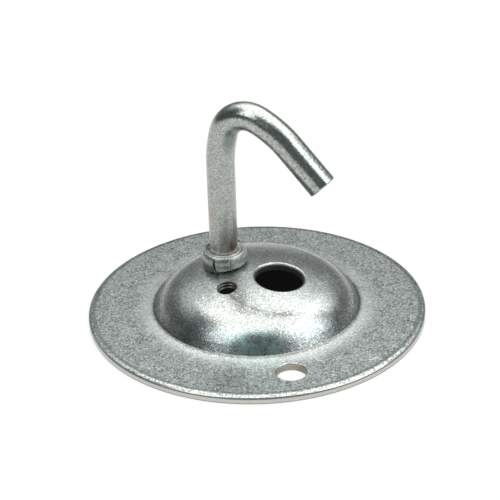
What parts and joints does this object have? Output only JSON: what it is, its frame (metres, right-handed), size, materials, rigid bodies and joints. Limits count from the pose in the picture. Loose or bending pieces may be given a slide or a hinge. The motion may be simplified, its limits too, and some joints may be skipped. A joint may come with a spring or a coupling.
{
  "type": "ceiling hook",
  "caption": "Open hook of bent round rod riveted into a round domed plate, with a cable hole, a tapped earth hole and fixing holes in the flange.",
  "frame": {"origin": "centre of the round plate, on the underside of its flange, which lies against the ceiling box", "axes": "+Z away from the ceiling, along the shank; +X the way the hook reaches"},
  "size_m": [0.065, 0.065, 0.0432],
  "materials": {
    "plate_zinc": "dull grained zinc plating on pressed sheet",
    "hook_zinc": "zinc plating on bent rod, brighter on the reach"
  },
  "bodies": {
    "root": {"plate": "plate_zinc", "hook": "hook_zinc"}
  },
  "joints": []
}
